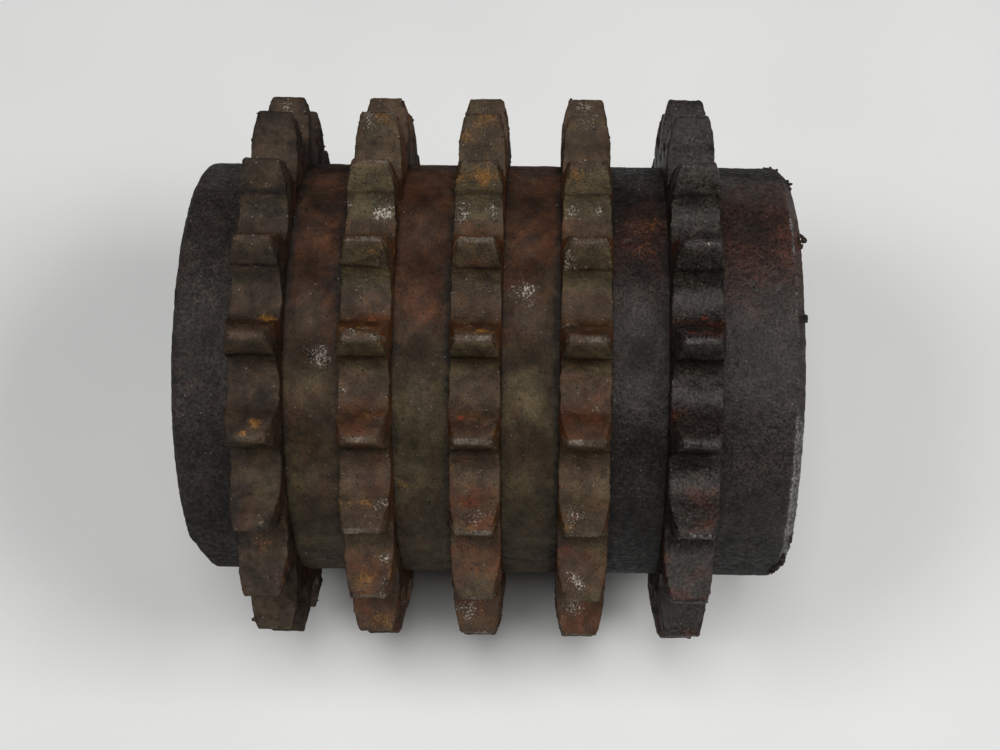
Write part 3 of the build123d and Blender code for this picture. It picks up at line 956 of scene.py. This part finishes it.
def build_spacer(index):
    left = ROW_STATIONS[index] + RING_HALF_WIDTH - JOINT_OVERLAP
    right = ROW_STATIONS[index + 1] - RING_HALF_WIDTH + JOINT_OVERLAP
    profile = [
        (RING_BORE, left, 20.0), (BARREL_RADIUS, left, 0.5), (BARREL_RADIUS, right, 20.0),
        (RING_BORE, right, 4.0),
    ]
    name = f"weathered_spacer_{index + 1}"
    material, slot = OILED if index == OILY_SPACER else UNOILED
    build_turned(name, profile, index, 211 + 20 * index, SPACER_NODES[index], slot, material)


def shifted(points, outward, along):
    """The points moved away from the axis and along it."""
    scale = 1 + outward / polar(points)[0]
    return np.stack([points[:, 0] * scale, points[:, 1] + along, points[:, 2] * scale], 1)


def cut_left_corner(points):
    """A long bevel knocked off the left collar's rim where it was dropped."""
    middle_angle, half_span, deepest = 98.0, 34.0, 3.0
    radius, angle = polar(points)
    spread = angle_from(angle, middle_angle) / half_span
    depth = deepest * (1 - ease(0.2, 1.0, spread)) + 0.4 * layered(points, 5, 301) - 0.2
    past = (radius - BARREL_RADIUS) + (LEFT_END - points[:, 1]) + depth
    cut = np.where((radius > RECESS_RADIUS + 0.4) & (past > 0) & (depth > 0), past / 2, 0)
    return shifted(points, -cut, cut)


def tear_right_rim(points):
    """A torn lip standing along the outer edge of the right end face."""
    worst_angle, lip_height, lip_reach = 88.0, 0.55, 0.6
    radius, angle = polar(points)
    near = np.exp(-((radius - BARREL_RADIUS + RIGHT_CHAMFER) ** 2 + (points[:, 1] - RIGHT_END) ** 2) / 0.5)
    ring = on_circle(BARREL_RADIUS, angle, 0.0)
    torn = 0.15 + 0.85 * (1 - ease(8, 32, angle_from(angle, worst_angle)))
    ragged = 0.5 + 0.9 * ease(-0.2, 0.9, layered(ring, 3.5, 311))
    ragged = ragged + 0.35 * ease(0.1, 0.9, layered(ring, 0.8, 317, 2))
    outward = lip_reach * near * torn * ease(-0.1, 0.9, layered(ring, 1.2, 323))
    return shifted(points, outward, lip_height * near * ragged * torn)


def build_collars():
    """The two ends of the barrel. The left one holds the nut in a recess, the right one the set screws."""
    left = [
        (RING_BORE, STACK_LEFT + JOINT_OVERLAP, 20.0), (BARREL_RADIUS, STACK_LEFT + JOINT_OVERLAP, 0.45),
        (BARREL_RADIUS, LEFT_END + LEFT_CHAMFER, 0.4), (BARREL_RADIUS - LEFT_CHAMFER, LEFT_END, 0.45),
        (RECESS_RADIUS + 0.4, LEFT_END, 0.3), (RECESS_RADIUS, LEFT_END + 0.4, 0.8),
        (RECESS_RADIUS, WEB_FACE - 0.8, 0.5), (RECESS_RADIUS, WEB_FACE, 1.2),
        (RING_BORE, WEB_FACE, 1.5),
    ]
    build_turned(
        "weathered_collar_left", left, "left", 401, "end_collar_left", "rusted_steel", "oily_steel",
        shape=cut_left_corner,
    )
    right = [
        (RING_BORE, STACK_RIGHT - JOINT_OVERLAP, 20.0), (BARREL_RADIUS, STACK_RIGHT - JOINT_OVERLAP, 0.45),
        (BARREL_RADIUS, RIGHT_END - RIGHT_CHAMFER, 0.4), (BARREL_RADIUS - RIGHT_CHAMFER, RIGHT_END, 0.45),
        (COUNTERBORE_RADIUS + 0.3, RIGHT_END, 0.3), (COUNTERBORE_RADIUS, RIGHT_END - 0.3, 0.8),
        (COUNTERBORE_RADIUS, FLANGE_FACE, 2.0), (RING_BORE, FLANGE_FACE, 0.5),
        (RING_BORE, SET_SCREW_STATION - 6.5, 3.0),
    ]
    build_turned(
        "weathered_collar_right", right, "right", 431, "end_collar_right", "oiled_steel", "oily_steel",
        shape=tear_right_rim, holes=set_screw_holes(RING_BORE - 4.0, HOLE_CHAMFER),
    )


# Clusters of torn burr on the edges: station, angle, radius, spread in degrees and number of crumbs
CRUMB_CLUSTERS = [
    (65.4, -64, 47.3, 1.4, 20), (66.8, -63, 46.9, 1.2, 20), (68.3, -44, 45.5, 1.6, 22),
    (68.4, -14, 45.4, 1.1, 12), (68.3, 10, 45.5, 0.7, 5), (68.2, 77, 45.6, 2.2, 24),
    (67.2, 88, 46.5, 2.0, 30), (66.3, 95, 47.2, 1.8, 30), (-50.0, 93, 60.9, 0.5, 6),
]
edge_crumbs = []


def build_crumbs():
    """Small lumps, each a ball pushed out of shape, half sunk in the edge that it sticks to."""
    ball = bmesh.new()
    bmesh.ops.create_icosphere(ball, subdivisions=2, radius=1.0)
    unit = np.array([vertex.co for vertex in ball.verts])
    faces = np.array([[vertex.index for vertex in face.verts] for face in ball.faces])
    ball.free()
    rng = np.random.default_rng(701)
    placed = [(point, rng.uniform(0.12, 0.3)) for row_points in edge_crumbs for point in row_points]
    for station, angle, radius, spread, count in CRUMB_CLUSTERS:
        for _ in range(count):
            out, round_rim, across = rng.standard_normal(3) * (0.15, spread, 0.3)
            point = on_circle(radius + out, angle + round_rim, station + across)
            placed.append((point, rng.uniform(0.25, 0.55)))
    points = []
    for index, (point, size) in enumerate(placed):
        swell = 1 + 0.4 * noise(unit, 0.8, 701 + index)
        points.append(point + size * unit * swell[:, None] * rng.uniform(0.6, 1.4, 3))
    all_faces = np.vstack([faces + index * len(unit) for index in range(len(placed))])
    points = np.vstack(points)
    soot, rust = 0.85 + 0.3 * layered(points, 1.5, 731), 0.2 + 0.4 * layered(points, 2, 737)
    tones = toned(points, soot=soot, rust=rust)
    crumbs = make_mesh("grime_crumbs", points, [all_faces], tones, "rusted_steel")
    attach(crumbs, "drum")


# ---- Pieces: sleeve, nut and screws ----

def with_corners(angles, centres, half_angle):
    """The angles with a close pair added at each edge of each slot, in order."""
    steps = [side * half_angle + step for side in (-1, 1) for step in (-0.03, 0.03)]
    extra = [centre + step for centre in centres for step in steps]
    return np.unique(np.round(np.concatenate([angles, np.array(extra) % 360]), 6))


def sleeve_radii(profile, angles):
    """The sleeve's radius at each angle and profile point: its keyway, thread and key seats cut in."""
    thread_pitch, thread_depth = 2.0, 0.55
    turned = np.repeat(profile[None, :, 0], len(angles), 0)
    station = profile[None, :, 1]
    keyway = (angles, SHAFT_BORE, [SHAFT_KEYWAY_ANGLE], SHAFT_KEYWAY_HALF_WIDTH, SHAFT_KEYWAY_FLOOR, 0.6)
    bore = slotted_bore(*keyway)[:, None]
    in_bore = turned < SHAFT_BORE + BORE_CHAMFER + 0.1
    cut = bore + (turned - SHAFT_BORE) * (bore > SHAFT_BORE)
    radius = np.where(in_bore, np.maximum(turned, cut), turned)
    face = (radius >= SHAFT_BORE + BORE_CHAMFER) & (turned < SLEEVE_RADIUS - 1)
    radius = np.where(face, np.maximum(radius, bore + 0.02 * (turned - SHAFT_BORE)), radius)

    turn = (station - LEFT_END) / thread_pitch + angles[:, None] / 360
    groove = ease(0.15, 0.95, np.abs(2 * (turn % 1.0) - 1))
    threaded = (turned > SLEEVE_RADIUS - 0.01) & (station < THREAD_END) & (radius > SLEEVE_RADIUS - 1)
    radius = np.where(threaded, radius - thread_depth * groove, radius)

    outside = (radius > KEY_SEAT_FLOOR) & (turned > KEY_SEAT_FLOOR) & (station < KEY_SEAT_END - 0.1)
    return flat_slots(radius, angles, KEYWAY_ANGLES, KEY_SEAT_HALF_ANGLE, KEY_SEAT_FLOOR, outside)


def build_sleeve():
    """The bored sleeve: threaded at its left end, with key seats outside and a keyway inside."""
    edge = 0.8
    hole_edge = SET_SCREW_STATION - 6.2
    profile = resampled([
        (SHAFT_BORE, LEFT_END + BORE_CHAMFER, 0.4), (SHAFT_BORE + BORE_CHAMFER, LEFT_END, 0.5),
        (SLEEVE_RADIUS - edge, LEFT_END, 0.4), (SLEEVE_RADIUS, LEFT_END + edge, 0.33),
        (SLEEVE_RADIUS, THREAD_END, 6.0), (SLEEVE_RADIUS, hole_edge, 0.5), (SLEEVE_RADIUS, KEY_SEAT_END, 0.7),
        (SLEEVE_RADIUS, FLANGE_FACE, 2.0), (FLANGE_RADIUS, FLANGE_FACE, 1.5),
        (FLANGE_RADIUS, RIGHT_END - 0.3, 0.3), (FLANGE_RADIUS - 0.3, RIGHT_END, 0.5),
        (SHAFT_BORE + BORE_CHAMFER, RIGHT_END, 0.4), (SHAFT_BORE, RIGHT_END - BORE_CHAMFER, 0.6),
        (SHAFT_BORE, hole_edge, 2.2),
    ])
    angles = with_corners(EVEN_ANGLES, KEYWAY_ANGLES, KEY_SEAT_HALF_ANGLE)
    corner = math.degrees(math.atan(SHAFT_KEYWAY_HALF_WIDTH / SHAFT_KEYWAY_FLOOR))
    angles = with_corners(angles, [SHAFT_KEYWAY_ANGLE], corner)
    grid = face_outward(on_circle(sleeve_radii(profile, angles), angles[:, None], profile[None, :, 1]))
    points = grid.reshape(-1, 3)
    station = points[:, 1]
    at_ends = ease(RIGHT_END - 6, RIGHT_END - 3, station) + 1 - ease(LEFT_END + 3, LEFT_END + 6, station)
    in_bore = 1 - ease(SHAFT_BORE + 4, SHAFT_BORE + 6, polar(points)[0])
    height = np.clip(at_ends + in_bore, 0, 1) * fine_relief(points, 501)
    tones = metal_tones(points, 511)
    points, face_sets = pierced(pushed(grid, height), grid_faces(grid), set_screw_holes(SHAFT_BORE - 10, 0.0))
    made = make_mesh("weathered_sleeve", points, face_sets, tones, "machined_steel")
    stand_for(made, "drum", "core_sleeve", "machined_steel")


def build_nut():
    """The slotted ring nut, drilled for its two locking screws."""
    inner, edge = SLEEVE_RADIUS + 0.06, 0.8
    slot_centres = (45.0, 135.0, 225.0, 315.0)
    slot_half_angle, slot_floor = 5.7, 38.5
    profile = eased_corners(resampled([
        (inner, NUT_INNER_FACE, 3.0), (NUT_RADIUS, NUT_INNER_FACE, 0.5),
        (NUT_RADIUS, NUT_OUTER_FACE + edge, 0.3), (NUT_RADIUS - edge, NUT_OUTER_FACE, 0.4),
        (inner + edge, NUT_OUTER_FACE, 0.3), (inner, NUT_OUTER_FACE + edge, 1.5),
    ]), 1)
    angles = with_corners(EVEN_ANGLES, slot_centres, slot_half_angle)
    turned = np.repeat(profile[None, :, 0], len(angles), 0)
    radius = flat_slots(turned, angles, slot_centres, slot_half_angle, slot_floor)
    grid = face_outward(on_circle(radius, angles[:, None], profile[None, :, 1]))
    points = grid.reshape(-1, 3)
    tones = metal_tones(points, 541, rust=0.3, soot=0.35, bare=0.15)
    starts = [np.array([0.0, NUT_INNER_FACE + 4, side * LOCK_SCREW_CIRCLE]) for side in (1, -1)]
    holes = [(start, (0.0, -1.0, 0.0), LOCK_SCREW_HOLE_RADIUS) for start in starts]
    points, face_sets = pierced(pushed(grid, fine_relief(points, 531)), grid_faces(grid), holes)
    made = make_mesh("weathered_nut", points, face_sets, tones, "blackened_steel")
    stand_for(made, "clamp_nut", "ring_nut", "blackened_steel")


SCREW_SAMPLES = 96
# Width and depth of a screw's socket, and the pitch of its thread
LOCK_SCREW_SIZES = (2.5, 2.6, 0.8)
SET_SCREW_SIZES = (5.0, 5.0, 1.5)
# Body, CAD node, the way that the socket faces, and sizes
SCREWS = (
    ("lock_screw_top", "nut_lock_screw_1", (0, -1, 0), LOCK_SCREW_SIZES),
    ("lock_screw_bottom", "nut_lock_screw_2", (0, -1, 0), LOCK_SCREW_SIZES),
    ("key_screw", "set_screw_over_key", (0, 0, -1), SET_SCREW_SIZES),
    ("side_screw", "set_screw_at_side", (-1, 0, 0), SET_SCREW_SIZES),
)


def screw_grid(radius, length, hex_width, hex_depth, thread_pitch):
    """A headless screw standing on its cup point along +Z, threaded, with a hexagon socket in its top."""
    turns = np.arange(SCREW_SAMPLES) * 2 * math.pi / SCREW_SAMPLES
    edge, point_height, thread_depth = radius / 8, radius * 0.4, thread_pitch * 0.3
    hexagon = hex_width / 2 / np.cos((turns + math.pi / 6) % (math.pi / 3) - math.pi / 6)
    thread_steps = max(8, round((length - edge - point_height) / (thread_pitch / 7)))
    columns = [(radius * r, radius * z) for r, z in ((0.0, 0.3), (0.25, 0.15), (0.5, 0.0), (0.65, 0.0))]
    for z in np.linspace(point_height, length - edge, thread_steps):
        phase = (z / thread_pitch - turns / (2 * math.pi)) % 1.0
        run_out = min(1.0, (z - point_height) / thread_pitch, (length - edge - z) / (thread_pitch / 2))
        groove = ease(0.2, 0.9, np.abs(2 * phase - 1)) * max(run_out, 0.0)
        columns.append((radius - thread_depth * groove, z))
    columns += [(radius - edge, length), (hex_width * 0.72, length), (hexagon * 1.04, length)]
    columns += [(hexagon, length - drop) for drop in (0.15, hex_depth / 2, hex_depth)]
    columns.append((0.0, length - hex_depth - 0.4))
    return np.stack([
        np.stack([r * np.cos(turns), r * np.sin(turns), np.full(SCREW_SAMPLES, z)], -1) for r, z in columns
    ], 1)


def build_screw(body, node, direction, hex_width, hex_depth, thread_pitch):
    """A headless screw in the place of its CAD node, its socket end pointing along direction."""
    low, high = extent(node)
    direction = np.array(direction, float)
    size = high - low
    length = float(abs(size @ direction))
    radius = float(max(size[axis] for axis in range(3) if abs(direction[axis]) < 0.5)) / 2
    start = (low + high) / 2 - direction * length / 2
    side = np.cross((0.3, 0.9, 0.2), direction)
    side /= np.linalg.norm(side)
    up = np.cross(direction, side)
    grid = screw_grid(radius, length, hex_width, hex_depth, thread_pitch)
    placed = start + grid[..., :1] * side + grid[..., 1:2] * up + grid[..., 2:] * direction
    points = placed.reshape(-1, 3)
    tones = metal_tones(points, 601, bare=0.1)
    made = make_mesh(body + "_visual", points, [grid_faces(grid, closed=False)], tones, "blackened_steel")
    mesh = bmesh.new()
    mesh.from_mesh(made.data)
    bmesh.ops.remove_doubles(mesh, verts=mesh.verts, dist=1e-7)
    bmesh.ops.recalc_face_normals(mesh, faces=mesh.faces)
    mesh.to_mesh(made.data)
    mesh.free()
    made.data.shade_smooth()
    stand_for(made, body, node, "blackened_steel")


def dress_hidden_nodes():
    """The long keys and the washer keep their CAD shape and get a real finish."""
    for node, material in (
        ("ring_key_upper", "machined_steel"), ("ring_key_lower", "machined_steel"),
        ("keyed_washer", "rusted_steel"),
    ):
        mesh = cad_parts[node].data
        mesh.materials.clear()
        mesh.materials.append(MATERIALS[material])


for row_index in range(len(ROW_NODES)):
    build_row(row_index)
for spacer_index in range(len(SPACER_NODES)):
    build_spacer(spacer_index)
build_collars()
build_crumbs()
build_sleeve()
build_nut()
for body, node, direction, sizes in SCREWS:
    build_screw(body, node, direction, *sizes)
dress_hidden_nodes()


# ---- Bench, light and camera ----

def build_bench():
    """A plain pale floor, touching the lowest teeth."""
    half_size = 3.0
    height = cad_box[0][2]
    corners = [(x * half_size, y * half_size, height) for x, y in ((-1, -1), (1, -1), (1, 1), (-1, 1))]
    mesh = bpy.data.meshes.new("bench")
    mesh.from_pydata(corners, [], [(0, 1, 2, 3)])
    mesh.materials.append(MATERIALS["bench"])
    add_object("bench", mesh)


LAMP_DISTANCE = 1.5
# Name, tilt towards +X and towards +Y from overhead in degrees, width in metres and power in watts
LAMPS = [("overhead", 9, 0, 0.5, 7.9), ("right", 10, 40, 0.55, 11.2), ("left", 10, -33, 0.55, 7.2)]
ROOM_LIGHT = 0.06


def build_light():
    """A soft lamp overhead and one over each end of the drum, all a little to its +X side, in a dim room."""
    for name, across, along, width, power in LAMPS:
        lamp = bpy.data.lights.new(name, "AREA")
        lamp.size = width
        lamp.energy = power
        lamp.color = (1.0, 0.985, 0.96)
        placed = add_object(name, lamp)
        towards = Vector((math.tan(math.radians(across)), math.tan(math.radians(along)), 1.0)).normalized()
        placed.location = LAMP_DISTANCE * towards
        placed.rotation_euler = towards.to_track_quat("Z", "Y").to_euler()
    world = bpy.data.worlds.new("room")
    world.use_nodes = True
    background = world.node_tree.nodes["Background"]
    background.inputs["Color"].default_value = (0.94, 0.97, 1.0, 1.0)
    background.inputs["Strength"].default_value = ROOM_LIGHT
    bpy.context.scene.world = world
    bpy.context.scene.view_settings.view_transform = "Standard"


CAMERA_DISTANCE = 391.56
CAMERA_ANGLE = 24.42
CAMERA_STATION = 14.52
CAMERA_LENS = 59.79
CAMERA_TRIM = (0.20, 1.58, 0.76)


def build_camera():
    """Above the drum and a little to its +X side, looking down with the axis across the picture."""
    lens = bpy.data.cameras.new("camera")
    lens.lens = CAMERA_LENS
    lens.sensor_width = 36.0
    lens.clip_start = 0.01
    camera = add_object("camera", lens)
    back = on_circle(1.0, CAMERA_ANGLE, 0.0)
    down = np.array([back[2], 0.0, -back[0]])
    level = Matrix(((0.0, 1.0, 0.0), tuple(-down), tuple(back)))
    pitch, yaw, roll = (math.radians(value) for value in CAMERA_TRIM)
    trim = image_trim(pitch, yaw, roll)
    turn = (trim @ level).transposed().to_4x4()
    place = on_circle(CAMERA_DISTANCE * MM, CAMERA_ANGLE, CAMERA_STATION * MM)
    camera.matrix_world = Matrix.Translation(tuple(place)) @ turn
    bpy.context.scene.camera = camera


def image_trim(pitch, yaw, roll):
    """Small turns about image axes right, down and forward, as a turn of camera axes right, up and back."""
    flip = Matrix.Diagonal((1.0, -1.0, -1.0))
    turns = Matrix.Rotation(pitch, 3, "X") @ Matrix.Rotation(yaw, 3, "Y") @ Matrix.Rotation(roll, 3, "Z")
    return flip @ turns @ flip


build_bench()
build_light()
build_camera()
